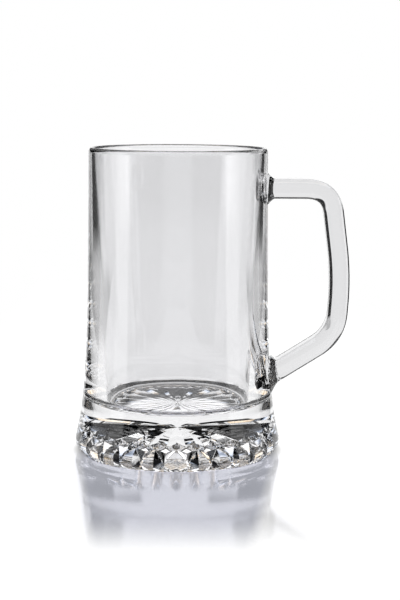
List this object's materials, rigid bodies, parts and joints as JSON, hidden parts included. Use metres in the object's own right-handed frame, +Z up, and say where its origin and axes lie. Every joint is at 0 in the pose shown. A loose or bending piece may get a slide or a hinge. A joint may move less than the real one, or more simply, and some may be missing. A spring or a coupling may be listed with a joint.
{
  "type": "glass beer mug",
  "caption": "Clear pressed-glass beer mug with a smooth heavy foot, a star and a ring of diamonds pressed underneath it, and an angular stuck-on side handle.",
  "frame": {"origin": "on the table, under the middle of the box round the mug", "axes": "+Z up along the bowl, +X from the bowl towards the handle, +Y across the handle"},
  "size_m": [0.1332, 0.1002, 0.148],
  "materials": {
    "bowl_glass": "clear soda-lime glass, pressed and fire-polished",
    "handle_glass": "clear soda-lime glass, pressed and fire-polished"
  },
  "bodies": {
    "root": {"bowl": "bowl_glass", "handle": "handle_glass"}
  },
  "joints": []
}
